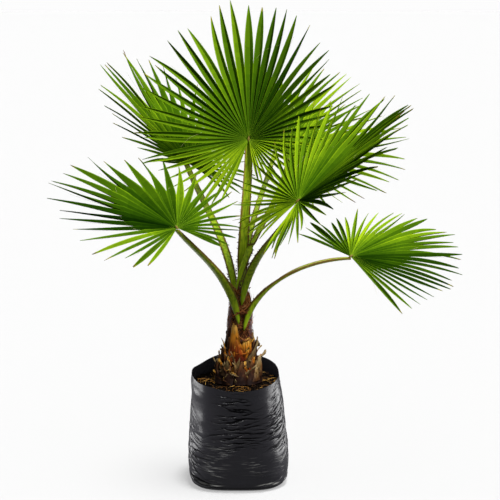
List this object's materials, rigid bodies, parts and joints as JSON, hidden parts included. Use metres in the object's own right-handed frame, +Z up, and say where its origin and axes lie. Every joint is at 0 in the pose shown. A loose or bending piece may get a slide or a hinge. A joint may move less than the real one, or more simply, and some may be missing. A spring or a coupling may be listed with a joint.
{
  "type": "potted washingtonia palm",
  "caption": "Young fan palm with pleated round fronds on spiny stalks, a short stem clad in dry leaf boots, and a soft black grow bag filled with soil.",
  "frame": {"origin": "middle of the grow bag's flat underside", "axes": "+Z up, -Y towards the side that the picture shows, +X to the right of that view"},
  "size_m": [0.9837, 1.1517, 1.1836],
  "materials": {
    "bag_film": "thin crinkled polythene, soft sheen",
    "soil": "dark crumbly potting mix with straw fibres",
    "stem_fibre": "matted brown fibre",
    "leaf_boot": "dry, partly glossy leaf bases",
    "petiole": "smooth green with red-brown spiny margins",
    "leaf_blade": "pleated, semi-gloss green"
  },
  "bodies": {
    "root": {"grow_bag": "bag_film", "soil": "soil", "stem": "stem_fibre", "boot_low_1": "leaf_boot", "boot_low_2": "leaf_boot", "boot_low_3": "leaf_boot", "boot_low_4": "leaf_boot", "boot_low_5": "leaf_boot", "boot_low_6": "leaf_boot", "boot_middle_1": "leaf_boot", "boot_middle_2": "leaf_boot", "boot_middle_3": "leaf_boot", "boot_middle_4": "leaf_boot", "boot_middle_5": "leaf_boot", "boot_high_1": "leaf_boot", "boot_high_2": "leaf_boot", "boot_high_3": "leaf_boot", "petiole_top": "petiole", "petiole_back_left": "petiole", "petiole_left": "petiole", "petiole_front_right": "petiole", "petiole_right_lower": "petiole", "petiole_right_upper": "petiole", "petiole_back_top": "petiole", "petiole_back_right": "petiole", "frond_top": "leaf_blade", "frond_back_left": "leaf_blade", "frond_left": "leaf_blade", "frond_front_right": "leaf_blade", "frond_right": "leaf_blade", "frond_back_top": "leaf_blade", "frond_back_right": "leaf_blade"}
  },
  "joints": []
}
